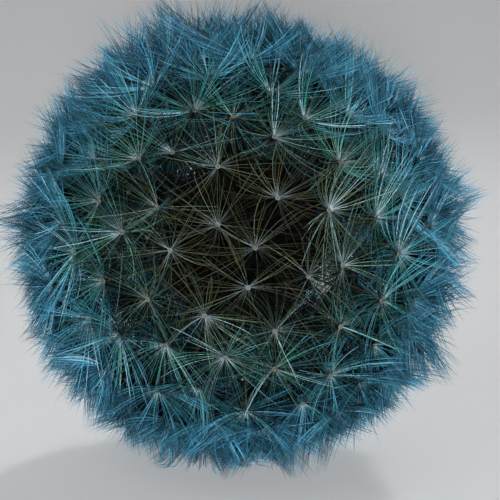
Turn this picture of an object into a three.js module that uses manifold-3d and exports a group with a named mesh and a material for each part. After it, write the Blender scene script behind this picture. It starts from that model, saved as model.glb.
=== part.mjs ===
// Dandelion seed head (a "clock"), picked with its stalk and laid down on its side.
// The ball of seeds and the cut end of the stalk touch the table. The head's apex faces -Y and a
// little up, and the stalk runs away behind it towards +Y. Millimetres, +Z up.

import * as THREE from 'three';
import { mergeVertices } from 'three/addons/utils/BufferGeometryUtils.js';
import Module from 'manifold-3d';

const wasm = await Module();
wasm.setup();

// ---------------------------------------------------------------------------------------------
// Driving dimensions, in millimetres and degrees
// ---------------------------------------------------------------------------------------------

// How the head lies
const HEAD_TILT = 14;             // the head's axis above the horizontal
const HEAD_HEIGHT = 22.7;         // centre of the ball above the table

// Receptacle: the swollen end of the stalk that carries the seeds
const RECEPTACLE_RADIUS = 5;
const RECEPTACLE_RIM = 142;       // how far round from the apex its dome reaches
const RECEPTACLE_NECK = [2, -6.4]; // radius and height on the axis where it becomes the stalk
const RECEPTACLE_SIDES = 20;
const DOME_STEP = 10;

// Stalk
const STALK_RADIUS = 1.8;
const STALK_BORE = 1.25;          // radius of the hollow inside it
const STALK_SIDES = 12;
const BORE_SIDES = 8;
const STALK_STRAIGHT = 46;        // from the ball's centre to where the bend begins
const STALK_BEND_END = 36;        // from the middle of the bend to the cut end
const STALK_SWAY = 3;             // how far the cut end lies to one side
const STALK_STEPS = 20;
const BORE_START = 9;             // from the ball's centre to the top of the hollow

// Seeds: 34 spiral rows of five
const ROWS = 34;
const SEEDS_PER_ROW = 5;
const SEED_FIELD_END = 140;       // the last seeds' feet, from the apex
const HUB_FIELD_END = 158;        // their hubs, which fan out towards the stalk
const GOLDEN_ANGLE = 137.50776;
const SEAT_GAP = 0.3;             // between the receptacle and a row's seat strip
const SEAT_RADIUS = 0.16;         // the thin strip of skin that one row stands on
const SEAT_SIDES = 3;
const SEAT_STEPS_PER_SEED = 2;
const ACHENE_RADIUS = 0.48;
const ACHENE_LENGTH = 3.9;
const ACHENE_WIDEST = 0.62;       // how far up the fruit its widest ring is
const BEAK_RADIUS = 0.11;
const HUB_DISTANCE = 19.4;        // from the ball's centre to the top of the beak
const HUB_RADIUS = 0.24;
const HUB_HEIGHT = 0.6;
const HAIRS_PER_SEED = 6;         // and as many sides on the fruit
const HAIR_RISE = 3.5;            // from the hub to the hair tips, along the seed
const HAIR_SPREAD = 2.9;          // the same, outwards
const HAIR_CLEARANCE = 0.2;       // kept to the half way line between two seeds
const HUB_SCATTER = 0.045;        // how far a seed leans from its place, in radians
const BEAK_SCATTER = 0.5;         // how much longer or shorter a beak is

// Bracts: the narrow leaves under the head, folded back along the stalk
const INNER_BRACTS = { count: 13, length: 11, width: 1.5, base: [3.1, -4.9], lean: 0.12, curl: 0.4 };
const OUTER_BRACTS = { count: 8, length: 8, width: 1.6, base: [2.65, -6], lean: 0.08, curl: 0.4 };
const BRACT_THICKNESS = 0.3;
const BRACT_TROUGH = 0.16;        // how far its edges are turned out
const BRACT_STEPS = 5;

const COLOURS = { stalk: 0x8c9455, bract: 0x77703f, seeds: 0x86a5ab };

// ---------------------------------------------------------------------------------------------
// Helpers
// ---------------------------------------------------------------------------------------------

const radians = THREE.MathUtils.degToRad;
const HEAD_TURN = radians(90 - HEAD_TILT); // about X, from +Z to the head's axis
const TABLE_UP = new THREE.Vector3(0, Math.sin(HEAD_TURN), Math.cos(HEAD_TURN)); // in the head
const UP = new THREE.Vector3(0, 1, 0);     // what lathes turn about

/** A repeatable number from -1 to 1 for piece i. */
function scatter(i, salt) {
  const v = Math.sin(i * 12.9898 + salt * 78.233) * 43758.5453;
  return (v - Math.floor(v)) * 2 - 1;
}

/** A manifold solid from a closed three.js geometry. */
function solid(geometry, matrix = new THREE.Matrix4()) {
  const shape = geometry.index ? geometry.toNonIndexed() : geometry.clone();
  shape.deleteAttribute('normal');
  shape.deleteAttribute('uv');
  shape.applyMatrix4(matrix);
  const merged = mergeVertices(shape, 1e-5);
  const corners = merged.index.array;
  const kept = [];
  for (let t = 0; t < corners.length; t += 3) {
    const [a, b, c] = corners.subarray(t, t + 3);
    if (a !== b && b !== c && c !== a) {
      kept.push(a, b, c);
    }
  }
  const vertProperties = new Float32Array(merged.attributes.position.array);
  const mesh = new wasm.Mesh({ numProp: 3, vertProperties, triVerts: new Uint32Array(kept) });
  return new wasm.Manifold(mesh);
}

/** A named mesh from a manifold solid. */
function meshOf(name, body, colour, roughness) {
  const { vertProperties, triVerts } = body.getMesh();
  const geometry = new THREE.BufferGeometry();
  geometry.setAttribute('position', new THREE.BufferAttribute(vertProperties, 3));
  geometry.setIndex(new THREE.BufferAttribute(triVerts, 1));
  geometry.computeVertexNormals();
  const material = new THREE.MeshStandardMaterial({ color: colour, roughness, metalness: 0 });
  const mesh = new THREE.Mesh(geometry, material);
  mesh.name = name;
  return mesh;
}

/** A closed tube of the given radius and number of sides along a curve. */
function tube(curve, radius, sides, steps) {
  const section = new THREE.Shape();
  for (let i = 0; i < sides; i += 1) {
    const turn = (2 * Math.PI * i) / sides;
    const at = [radius * Math.cos(turn), radius * Math.sin(turn)];
    if (i === 0) {
      section.moveTo(...at);
    } else {
      section.lineTo(...at);
    }
  }
  return new THREE.ExtrudeGeometry(section, { extrudePath: curve, steps, bevelEnabled: false });
}

/** The matrix that carries a shape turned about +Y to a foot point, along a direction. */
function placement(foot, direction, spin = 0) {
  const turn = new THREE.Quaternion().setFromUnitVectors(UP, direction);
  turn.multiply(new THREE.Quaternion().setFromAxisAngle(UP, spin));
  return new THREE.Matrix4().compose(foot, turn, new THREE.Vector3(1, 1, 1));
}

// ---------------------------------------------------------------------------------------------
// Stalk and receptacle: one piece, grown together
// ---------------------------------------------------------------------------------------------

/** The stalk's middle line from a point on the head's axis to past the cut end by `extra`. */
function stalkLine(start, extra = 0) {
  const slope = radians(HEAD_TILT);
  const onAxis = (distance) => new THREE.Vector3(
    0, distance * Math.cos(slope), HEAD_HEIGHT - distance * Math.sin(slope));
  const touch = (HEAD_HEIGHT - STALK_RADIUS) / Math.sin(slope);
  const knee = onAxis(touch);
  const end = knee.clone().add(new THREE.Vector3(STALK_SWAY, STALK_BEND_END, 0));
  const bend = new THREE.QuadraticBezierCurve3(onAxis(STALK_STRAIGHT), knee, end);
  const line = new THREE.CurvePath();
  line.add(new THREE.LineCurve3(onAxis(start), onAxis(STALK_STRAIGHT)));
  line.add(bend);
  if (extra > 0) {
    const past = end.clone().addScaledVector(bend.getTangent(1), extra);
    line.add(new THREE.LineCurve3(end, past));
  }
  return line;
}

/** The receptacle's turned outline: a dome, then a cone that narrows to the stalk. */
function receptacle() {
  const outline = [];
  for (let angle = 0; angle < RECEPTACLE_RIM; angle += DOME_STEP) {
    outline.push(new THREE.Vector2(
      RECEPTACLE_RADIUS * Math.sin(radians(angle)), RECEPTACLE_RADIUS * Math.cos(radians(angle))));
  }
  const rim = radians(RECEPTACLE_RIM);
  outline.push(new THREE.Vector2(
    RECEPTACLE_RADIUS * Math.sin(rim), RECEPTACLE_RADIUS * Math.cos(rim)));
  const [neckRadius, neckHeight] = RECEPTACLE_NECK;
  outline.push(new THREE.Vector2(neckRadius, neckHeight), new THREE.Vector2(0, neckHeight));
  return new THREE.LatheGeometry(outline.reverse(), RECEPTACLE_SIDES);
}

function stalkAndReceptacle() {
  const toTable = new THREE.Matrix4().makeRotationX(HEAD_TURN);
  toTable.setPosition(0, 0, HEAD_HEIGHT);
  toTable.multiply(new THREE.Matrix4().makeRotationX(Math.PI / 2)); // lathe's +Y to the axis
  const outside = tube(stalkLine(RECEPTACLE_RADIUS / 2), STALK_RADIUS, STALK_SIDES, STALK_STEPS);
  const hollow = tube(stalkLine(BORE_START, STALK_RADIUS), STALK_BORE, BORE_SIDES, STALK_STEPS);
  const body = solid(receptacle(), toTable).add(solid(outside)).subtract(solid(hollow));
  return meshOf('stalk_and_receptacle', body, COLOURS.stalk, 0.6);
}

// ---------------------------------------------------------------------------------------------
// Seeds
// ---------------------------------------------------------------------------------------------

/** Seed i's place in a field that ends at an angle from the apex, +Z: a unit vector. */
function fieldDirection(i, end) {
  const last = Math.cos(radians(end));
  const z = 1 - ((1 - last) * (i + 0.5)) / (ROWS * SEEDS_PER_ROW);
  const ring = Math.sqrt(1 - z * z);
  const turn = radians(i * GOLDEN_ANGLE);
  return new THREE.Vector3(ring * Math.cos(turn), ring * Math.sin(turn), z);
}

/** Where seed i stands, from the ball's centre. */
function footDirection(i) {
  return fieldDirection(i, SEED_FIELD_END);
}

/** Where seed i's hub lies: its place in the hubs' field, leaning a little at random. */
function hubDirection(i) {
  const hub = fieldDirection(i, HUB_FIELD_END);
  const across = new THREE.Vector3(-hub.y, hub.x, 0).normalize();
  const along = new THREE.Vector3().crossVectors(across, hub);
  return hub.addScaledVector(across, HUB_SCATTER * scatter(i, 1))
    .addScaledVector(along, HUB_SCATTER * scatter(i, 2)).normalize();
}

const hubDirections = Array.from({ length: ROWS * SEEDS_PER_ROW }, (_, i) => hubDirection(i));

/** How far seed i's hairs spread before they would meet the nearest seed's hairs. */
function hairSpread(i, tipDistance) {
  const nearest = Math.min(...hubDirections
    .filter((_, other) => other !== i)
    .map((direction) => direction.angleTo(hubDirections[i])));
  return Math.min(HAIR_SPREAD, (nearest * tipDistance) / 2 - HAIR_CLEARANCE);
}

/** The fruit, its beak and the hub, turned about +Y from the foot up. */
function fruit(length) {
  const outline = [
    [0, -SEAT_RADIUS / 2],
    [ACHENE_RADIUS, ACHENE_LENGTH * ACHENE_WIDEST],
    [BEAK_RADIUS, ACHENE_LENGTH],
    [HUB_RADIUS, length],
    [0, length + HUB_HEIGHT],
  ];
  const points = outline.map(([x, y]) => new THREE.Vector2(x, y));
  return new THREE.LatheGeometry(points, HAIRS_PER_SEED);
}

/** Draws each facet of the hub's top out into a hair, and gives every triangle its own corners. */
function withHairs(shape, hubTop, spread) {
  const corners = shape.toNonIndexed().attributes.position;
  const positions = [];
  for (let t = 0; t < corners.count; t += 3) {
    const triangle = [0, 1, 2].map((c) => new THREE.Vector3().fromBufferAttribute(corners, t + c));
    const isFlat = new THREE.Triangle(...triangle).getArea() < 1e-9;
    if (!isFlat && triangle.some((corner) => corner.y > hubTop)) {
      const middle = triangle[0].clone().add(triangle[1]).add(triangle[2]).setY(0).normalize();
      const tip = middle.multiplyScalar(spread).setY(hubTop + HAIR_RISE);
      triangle.forEach((corner, c) => {
        positions.push(...corner, ...triangle[(c + 1) % 3], ...tip);
      });
    } else {
      triangle.forEach((corner) => positions.push(...corner));
    }
  }
  const drawnOut = new THREE.BufferGeometry();
  drawnOut.setAttribute('position', new THREE.Float32BufferAttribute(positions, 3));
  return drawnOut;
}

/** Lifts every point that would reach below the table on to it: those hairs bend. */
function pressOnTable(geometry) {
  const points = geometry.attributes.position;
  const at = new THREE.Vector3();
  for (let p = 0; p < points.count; p += 1) {
    at.fromBufferAttribute(points, p);
    const height = at.dot(TABLE_UP) + HEAD_HEIGHT;
    if (height < 0) {
      at.addScaledVector(TABLE_UP, -height);
      points.setXYZ(p, at.x, at.y, at.z);
    }
  }
  return geometry;
}

/** One seed: the fruit with its beak, the hub and the hairs, standing on its row's strip. */
function seed(i) {
  const foot = footDirection(i).multiplyScalar(RECEPTACLE_RADIUS + SEAT_GAP + SEAT_RADIUS);
  const hub = hubDirections[i].clone().multiplyScalar(HUB_DISTANCE + BEAK_SCATTER * scatter(i, 3));
  const direction = hub.clone().sub(foot);
  const length = direction.length();
  const spread = hairSpread(i, hub.length() + HAIR_RISE);
  const shape = withHairs(fruit(length), length + HUB_HEIGHT / 2, spread);
  shape.applyMatrix4(placement(foot, direction.normalize(), Math.PI * scatter(i, 4)));
  return solid(pressOnTable(shape));
}

/** The strip of receptacle skin that joins the feet of one row. */
function seatStrip(seeds) {
  const distance = RECEPTACLE_RADIUS + SEAT_GAP + SEAT_RADIUS;
  const points = [];
  seeds.forEach((i, place) => {
    const here = footDirection(i);
    const steps = place < seeds.length - 1 ? SEAT_STEPS_PER_SEED : 1;
    const next = place < seeds.length - 1 ? footDirection(seeds[place + 1]) : here;
    for (let s = 0; s < steps; s += 1) {
      const between = here.clone().lerp(next, s / steps).normalize();
      points.push(between.multiplyScalar(distance));
    }
  });
  const line = new THREE.CatmullRomCurve3(points);
  return tube(line, SEAT_RADIUS, SEAT_SIDES, SEAT_STEPS_PER_SEED * (seeds.length - 1));
}

/** Row k of the spiral: every 34th seed, from near the apex to the back of the head. */
function seedRow(k) {
  const seeds = Array.from({ length: SEEDS_PER_ROW }, (_, place) => k + place * ROWS);
  const body = seeds.reduce((row, i) => row.add(seed(i)), solid(seatStrip(seeds)));
  const name = `seed_row_${String(k + 1).padStart(2, '0')}`;
  return meshOf(name, body, COLOURS.seeds, 0.7);
}

// ---------------------------------------------------------------------------------------------
// Bracts
// ---------------------------------------------------------------------------------------------

/** One bract: a thin blade, broadest at two fifths of its length, that leans and curls outwards. */
function bract(name, { length, width, base, lean, curl }, turn) {
  const blade = new THREE.BoxGeometry(1, 1, 1, 2, 1, BRACT_STEPS);
  const points = blade.attributes.position;
  for (let p = 0; p < points.count; p += 1) {
    const across = -2 * points.getX(p);
    const proud = points.getY(p) * BRACT_THICKNESS;
    const along = 0.5 - points.getZ(p);
    const halfWidth = (width / 2) * Math.sin(Math.PI * (0.18 + 0.8 * along));
    const outwards = base[0] + lean * length * along + curl * along ** 3;
    const x = outwards + proud + BRACT_TROUGH * across * across;
    points.setXYZ(p, x, across * halfWidth, base[1] - length * along);
  }
  const place = new THREE.Matrix4().makeRotationZ(turn);
  return meshOf(name, solid(blade, place), COLOURS.bract, 0.8);
}

/** A ring of bracts, each a piece of its own. */
function bractRing(name, ring) {
  return Array.from({ length: ring.count }, (_, i) => {
    const turn = (2 * Math.PI * (i + 0.05 * scatter(i, 5))) / ring.count;
    const number = String(i + 1).padStart(2, '0');
    return bract(`${name}_${number}`, ring, turn);
  });
}

// ---------------------------------------------------------------------------------------------
// The whole plant, with its origin under the middle of its box
// ---------------------------------------------------------------------------------------------

const head = new THREE.Group();
head.rotation.x = HEAD_TURN;
head.position.z = HEAD_HEIGHT;
head.add(...bractRing('inner_bract', INNER_BRACTS), ...bractRing('outer_bract', OUTER_BRACTS));
for (let k = 0; k < ROWS; k += 1) {
  head.add(seedRow(k));
}

const group = new THREE.Group();
group.add(stalkAndReceptacle(), head);
group.updateMatrixWorld(true);
const box = new THREE.Box3().setFromObject(group, true);
const middle = box.getCenter(new THREE.Vector3());
group.position.set(-middle.x, -middle.y, -box.min.z);

export default group;
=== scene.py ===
"""Dandelion seed head: the finished surfaces, built round the packed frame.

A ball of parachute seeds stands on the swollen end of a hollow stalk. The head lies on its side:
its axis points along HEAD_AXIS, towards -Y and a little up, and the stalk runs away behind it.
Lengths are in metres, and every surface is worked out in the frame's own coordinates.
"""

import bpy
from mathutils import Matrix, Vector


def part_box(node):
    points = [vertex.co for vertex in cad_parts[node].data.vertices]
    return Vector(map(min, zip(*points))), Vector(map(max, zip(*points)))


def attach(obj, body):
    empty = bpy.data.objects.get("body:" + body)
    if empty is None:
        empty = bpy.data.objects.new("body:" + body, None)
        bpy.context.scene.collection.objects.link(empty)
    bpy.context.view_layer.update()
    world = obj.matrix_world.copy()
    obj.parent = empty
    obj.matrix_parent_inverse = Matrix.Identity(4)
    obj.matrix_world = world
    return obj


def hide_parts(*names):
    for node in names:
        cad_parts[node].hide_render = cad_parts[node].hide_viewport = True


bl_info = {
    "name": "Dandelion Seed Head",
    "version": (1, 0, 0),
    "blender": (4, 5, 0),
    "location": "View3D > Sidebar > Dandelion",
    "description": "Builds the seeds, bracts, receptacle and stalk of a dandelion seed head",
    "category": "Add Mesh",
}

import bpy
import numpy as np
from bpy.props import FloatProperty, FloatVectorProperty, IntProperty, PointerProperty
from bpy.types import Operator, Panel, PropertyGroup
from mathutils import Vector

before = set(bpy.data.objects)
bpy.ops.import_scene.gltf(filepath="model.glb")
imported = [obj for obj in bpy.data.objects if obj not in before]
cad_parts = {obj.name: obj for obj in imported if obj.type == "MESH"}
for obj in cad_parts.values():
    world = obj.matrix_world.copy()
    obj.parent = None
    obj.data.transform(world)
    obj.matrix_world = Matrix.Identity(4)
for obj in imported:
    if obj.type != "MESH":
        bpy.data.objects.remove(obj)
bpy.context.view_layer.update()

MM = 0.001
TAU = 2 * np.pi

# ---------------------------------------------------------------------------------------------
# How the head is laid out, as in the packed frame
# ---------------------------------------------------------------------------------------------

HEAD_TILT = np.radians(14)          # the head's axis above the horizontal
RECEPTACLE_RADIUS = 5 * MM
RECEPTACLE_RIM = np.radians(142)    # how far round from the apex its dome reaches
CONE = ((2.75 * MM, -4.6 * MM), (1.9 * MM, -6.6 * MM))      # radius and height at its ends

STALK_RADIUS = 1.8 * MM
STALK_BORE = 1.25 * MM
STALK_STRAIGHT = 46 * MM            # from the ball's centre to where the bend begins
STALK_BEND_END = 36 * MM            # from the middle of the bend to the cut end
STALK_SWAY = 3 * MM                 # how far aside the cut end lies
BORE_START = 9 * MM                 # from the ball's centre to the closed end of the hollow

ROWS = 34
SEEDS_PER_ROW = 5
SEED_FIELD_END = np.radians(140)    # the last seeds' feet, from the apex
HUB_FIELD_END = np.radians(158)     # their hubs
GOLDEN_ANGLE = np.radians(137.50776)
HUB_DISTANCE = 19.4 * MM
HUB_SCATTER = 0.045                 # how far hubs lean from their places, in radians
BEAK_SCATTER = 0.5 * MM             # how far they vary in their distance

INNER_BRACT = dict(count=13, length=11 * MM, width=1.5 * MM, base=(3.1 * MM, -4.9 * MM),
                   lean=0.12, curl=0.4 * MM)
OUTER_BRACT = dict(count=8, length=8 * MM, width=1.6 * MM, base=(2.65 * MM, -6 * MM),
                   lean=0.08, curl=0.4 * MM)
BRACT_TROUGH = 0.16 * MM            # how far a bract's edges stand out from its middle

RANDOM_START = 11

ROW_NODES = sorted(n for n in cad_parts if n.startswith("seed_row"))
BRACT_NODES = sorted(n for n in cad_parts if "bract" in n)
STALK_NODE = "stalk_and_receptacle"

HEAD_AXIS = np.array([0, -np.cos(HEAD_TILT), np.sin(HEAD_TILT)])
HEAD_SIDE = np.array([1.0, 0, 0])
HEAD_TOP = np.cross(HEAD_AXIS, HEAD_SIDE)
STALK_LOW, STALK_HIGH = (np.array(corner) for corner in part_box(STALK_NODE))
HEAD_CENTRE = np.array([STALK_LOW[0] + RECEPTACLE_RADIUS, STALK_LOW[1] + RECEPTACLE_RADIUS,
                        STALK_HIGH[2] - RECEPTACLE_RADIUS])


def linear(code):
    """The linear colour of a six-figure sRGB code, with full alpha."""
    parts = [int(code[i:i + 2], 16) / 255 for i in (0, 2, 4)]
    return (*[c / 12.92 if c <= 0.04045 else ((c + 0.055) / 1.055) ** 2.4 for c in parts], 1.0)


def colour(name, description, code):
    """A colour property."""
    return FloatVectorProperty(name=name, description=description, default=linear(code), size=4,
                               subtype="COLOR", min=0, max=1)


def length(name, description, default):
    """A length property."""
    return FloatProperty(name=name, description=description, default=default, min=0,
                         subtype="DISTANCE", unit="LENGTH", precision=5)


def angle(name, description, degrees):
    """An angle property."""
    return FloatProperty(name=name, description=description, default=np.radians(degrees),
                         subtype="ANGLE", unit="ROTATION")


def fraction(name, description, default):
    """A property from 0 to 1."""
    return FloatProperty(name=name, description=description, default=default, min=0, max=1,
                         subtype="FACTOR")


def amount(name, description, default, most):
    """A property that counts things."""
    return IntProperty(name=name, description=description, default=default, min=3, max=most)


# ---------------------------------------------------------------------------------------------
# Sizes and colours that can be changed
# ---------------------------------------------------------------------------------------------


class SeedLook(PropertyGroup):
    """The parachutes, beaks and fruits."""

    hairs_front: amount("Hairs, front", "Hairs on a seed at the apex", 48, 300)
    hairs_rim: amount("Hairs, rim", "Hairs on a seed half way to the back", 170, 300)
    hairs_back: amount("Hairs, back", "Hairs on a seed towards the back", 328, 600)
    hairs_late: amount("Hairs, late", "Hairs on a seed near the stalk", 420, 600)
    hairs_last: amount("Hairs, last", "Hairs on a seed round the stalk", 560, 600)
    length_front: length("Hair length, front", "The longest hairs near the apex", 8 * MM)
    length_rim: length("Hair length, rim", "The same half way to the back", 6.1 * MM)
    length_back: length("Hair length, back", "The same towards the back", 7.1 * MM)
    length_last: length("Hair length, last", "The same round the stalk", 9 * MM)
    diameter_front: length("Hair diameter, front", "At the hub of a seed at the apex", 0.07 * MM)
    diameter_rim: length("Hair diameter, rim", "The same half way to the back", 0.07 * MM)
    diameter_back: length("Hair diameter, back", "The same from the back to the stalk", 0.112 * MM)
    opening: angle("Opening", "Between the beak and a hair where it leaves the hub", 75)
    rise: angle("Rise", "How far a hair turns back towards the beak's line", 20)
    lift: angle("Lift", "How much less the hairs open up and to the left of the apex", 6)
    bond: fraction("Bond", "How far neighbouring hairs close up into rays", 0.9)
    gather: fraction("Gather", "How far hair tips draw together into tufts", 0.95)
    sweep: length("Sweep", "How far hair tips are combed to one side in places", 3.6 * MM)
    # A painted highlight on the few brightest strands.
    hair_highlight: colour("Hair, pale", "The few brightest strands", "9CBCC8")
    # A painted highlight where light hairs leave the hub.
    hair_root_highlight: colour("Hair root", "Hairs where they leave the hub", "84939C")
    hair_teal: colour("Hair, teal", "Hairs between the apex and the rim", "3C8C80")
    hair_blue: colour("Hair, blue", "Hairs from the rim to the back, and their tips", "4EA2C8")
    # Near black, for dark hairs and for painted shade.
    hair_dark_and_shade: colour("Hair, dark", "The darkest hairs", "010405")
    hair_grey: colour("Hair, grey", "Hairs near the head's apex", "6C7866")
    hair_olive: colour("Hair, olive", "The yellower hairs near the apex", "585A22")
    hair_green: colour("Hair, green", "The greener hairs further out", "3C7A58")
    hair_lilac: colour("Hair, lilac", "The hairs with a cool sheen", "7088A0")
    hub_rim: colour("Hub rim", "The small disc that carries the hairs", "525E56")
    hub_middle: colour("Hub middle", "The dimple in the disc", "54442C")
    beak: colour("Beak", "The thread between fruit and hub, where it is ripest", "42361C")
    beak_tip: colour("Beak top", "The same, near the hub", "544822")
    # Near black: painted shade on most beaks, and their dark flecks.
    beak_fleck_and_shade: colour("Beak, dark", "The darkest beaks", "0C0804")
    # Fruit colours darkened to near black as painted shade inside the ball.
    fruit: colour("Fruit", "The dry fruit", "070504")
    fruit_rib: colour("Fruit ribs", "Its paler ribs", "120D08")


class StalkLook(PropertyGroup):
    """The stalk and the receptacle."""

    green: colour("Green", "Most of the stalk", "8C9A58")
    flush: colour("Flush", "The reddish flush in patches and towards the cut", "8E6148")
    rib_shade: colour("Rib shade", "The grooves between the ribs", "66733A")
    pith: colour("Pith", "The wall inside the stalk", "3A3424")
    # Near black: painted shade on the receptacle, deepest in its pits.
    dome: colour("Dome", "The receptacle's skin between the fruits", "0D0B08")
    pit: colour("Pit", "The same where the fruits stand", "060504")
    stain: colour("Stain", "Dried sap round the cut", "5B3E24")
    ribs: amount("Ribs", "Fine ribs along the stalk", 13, 24)
    rib_height: length("Rib height", "Of the ribs", 0.05 * MM)


class BractLook(PropertyGroup):
    """The folded-back bracts."""

    blade: colour("Blade", "The middle of a bract", "6D7341")
    vein: colour("Vein", "Its midrib and side veins", "8F935E")
    margin: colour("Margin", "Its thin dry edge", "A79F78")
    tip: colour("Tip", "Its dry tip", "5A3F28")
    thickness: length("Thickness", "Of a bract near its midrib", 0.3 * MM)


class StageLook(PropertyGroup):
    """The floor, the lights and the camera."""

    floor: colour("Floor", "The plain sweep", "DADBDC")
    distance: length("Distance", "From the camera to the ball's centre", 330 * MM)
    view_height: length("View height", "What the picture takes in at the ball", 50 * MM)
    aside: FloatProperty(name="Aside", description="The picture's shift, in its widths",
                         default=0.014)
    down: FloatProperty(name="Down", description="The same downwards", default=0.016)


GROUPS = {"seeds": SeedLook, "stalk": StalkLook, "bracts": BractLook, "stage": StageLook}


# ---------------------------------------------------------------------------------------------
# Surfaces
# ---------------------------------------------------------------------------------------------


def unit(vectors):
    """Each vector over its length."""
    return vectors / np.linalg.norm(vectors, axis=-1, keepdims=True)


def smooth(value, low, high):
    """0 below low, 1 above high, and 3x^2 - 2x^3 between."""
    x = np.clip((value - low) / (high - low), 0, 1)
    return x * x * (3 - 2 * x)


def scatter(i, salt):
    """A repeatable number from -1 to 1 for each i: twice the fraction of a large sine, less 1."""
    wave = np.sin(i * 12.9898 + salt * 78.233) * 43758.5453
    return (wave - np.floor(wave)) * 2 - 1


def turned(local):
    """Directions, given with the apex along the third axis, in frame coordinates."""
    return local @ np.array([HEAD_SIDE, HEAD_TOP, HEAD_AXIS])


class Surface:
    """Points, the corners of their faces, and what the materials read from them."""

    def __init__(self, points, corners, sizes, uv, slot=0, **marks):
        self.points, self.corners, self.sizes, self.uv = points, corners, sizes, uv
        self.slots = np.full(len(sizes), slot, np.int32)
        self.marks = {key: np.broadcast_to(value, len(points)) for key, value in marks.items()}


def cells_between(band, count):
    """Patches of the unwrapping (u, v, width, height), side by side between two heights."""
    low, high = band
    return np.array([(c / count, low, 1 / count, high - low) for c in range(count)])


def joined(index):
    """Quads that join rings of numbered points (surface, ring, side)."""
    after = np.roll(index, -1, axis=2)
    return np.stack([index[:, :-1], after[:, :-1], after[:, 1:], index[:, 1:]], axis=-1)


def quad_places(u, sides):
    """How far along a patch of the unwrapping the corners of those quads lie."""
    return np.stack([u[:-1], u[:-1], u[1:], u[1:]], axis=-1)[:, None].repeat(sides, axis=1)


def end_places(sides, u, reach):
    """An end face's corners in a patch: a narrow ellipse."""
    turn = np.arange(sides) * TAU / sides
    return np.stack([u + reach * np.cos(turn), 0.5 + 0.4 * np.sin(turn)], axis=-1)


def loft(rings, cells, slot=0, **marks):
    """Closed surfaces through rings of points (surface, ring, side): rings join into quads, and
    the end rings are closed by one face each. cells holds each surface's patch of the unwrapping
    (u, v, width, height): u runs from the first ring to the last, and v round the rings."""
    count, steps, sides = rings.shape[:3]
    index = np.arange(count * steps * sides).reshape(count, steps, sides)
    quads = joined(index)

    u = 0.02 + 0.96 * np.arange(steps) / (steps - 1)
    v = 0.02 + 0.96 * np.arange(sides + 1) / sides
    quad_v = np.stack([v[:-1], v[1:], v[1:], v[:-1]], axis=-1)[None].repeat(steps - 1, axis=0)
    cap = end_places(sides, 0.01, 0.008)
    flat = np.concatenate([np.stack([quad_places(u, sides), quad_v], axis=-1).reshape(-1, 2),
                           cap, cap + [0.98, 0]])
    uv = flat * cells[:, None, 2:] + cells[:, None, :2]
    body, caps = uv[:, :-2 * sides].reshape(-1, 2), uv[:, -2 * sides:].reshape(-1, 2)
    ends = np.stack([index[:, 0, ::-1], index[:, -1]], axis=1)
    corners = np.concatenate([quads.reshape(-1), ends.reshape(-1)])
    sizes = np.concatenate([np.full(quads.size // 4, 4), np.full(2 * count, sides)])
    shaped = {key: np.broadcast_to(value, index.shape).reshape(-1) for key, value in marks.items()}
    return Surface(rings.reshape(-1, 3), corners, sizes, np.concatenate([body, caps]), slot,
                   **shaped)


def ring_points(paths, radii, side, sides, along=None):
    """Rings of points round paths. At the angle a, a ring's point is its path's point + radius *
    (cos a * side + sin a * (along x side)), where side is made square to the way the path runs.
    Radii are given for each step of a path, or for each point of its rings."""
    if along is None:
        along = unit(np.gradient(paths, axis=1))
    side = unit(side - along * (side * along).sum(-1, keepdims=True))
    turn = np.arange(sides) * TAU / sides
    ring = (side[:, :, None] * np.cos(turn)[:, None]
            + np.cross(along, side)[:, :, None] * np.sin(turn)[:, None])
    if radii.ndim == 2:
        radii = radii[:, :, None]
    return paths[:, :, None] + radii[..., None] * ring


def needles(paths, radii, side, sides, cells, slot, **marks):
    """Closed needles round paths (needle, step): rings of points joined into quads, one face over
    the root, and triangles from the last ring to the tip. All sides of a needle share its cell of
    the unwrapping (u, v, width, height), along which u runs. Marks are given step by step."""
    rings = ring_points(paths, radii, side, sides)[:, :-1]
    count, steps = rings.shape[:2]
    start = np.arange(count)[:, None] * (steps * sides + 1)
    index = start[..., None] + np.arange(steps * sides).reshape(steps, sides)
    quads = joined(index)
    tips = np.broadcast_to(start + steps * sides, (count, sides))
    last = index[:, -1]
    ends = np.stack([last, np.roll(last, -1, axis=1), tips], axis=-1)

    u = 0.04 + 0.95 * np.arange(steps + 1) / steps
    quad_u = quad_places(u[:-1], sides)
    quad_uv = np.stack([quad_u, np.broadcast_to([0.1, 0.9, 0.9, 0.1], quad_u.shape)], axis=-1)
    tip_uv = np.tile([[u[-2], 0.1], [u[-2], 0.9], [u[-1], 0.5]], (sides, 1))
    uv = [(part.reshape(-1, 2) * cells[:, None, 2:] + cells[:, None, :2]).reshape(-1, 2)
          for part in (quad_uv, tip_uv, end_places(sides, 0.02, 0.015))]

    points = np.concatenate([rings.reshape(count, -1, 3), paths[:, -1:]], axis=1)
    corners = np.concatenate([quads.reshape(-1), ends.reshape(-1), index[:, 0, ::-1].reshape(-1)])
    sizes = np.concatenate([np.full(quads.size // 4, 4), np.full(ends.size // 3, 3),
                            np.full(count, sides)])
    shaped = {}
    for key, value in marks.items():
        value = np.broadcast_to(value, paths.shape[:2])
        shaped[key] = np.concatenate([value[:, :-1].repeat(sides, axis=1), value[:, -1:]],
                                     axis=1).reshape(-1)
    return Surface(points.reshape(-1, 3), corners, sizes, np.concatenate(uv), slot, **shaped)


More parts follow.
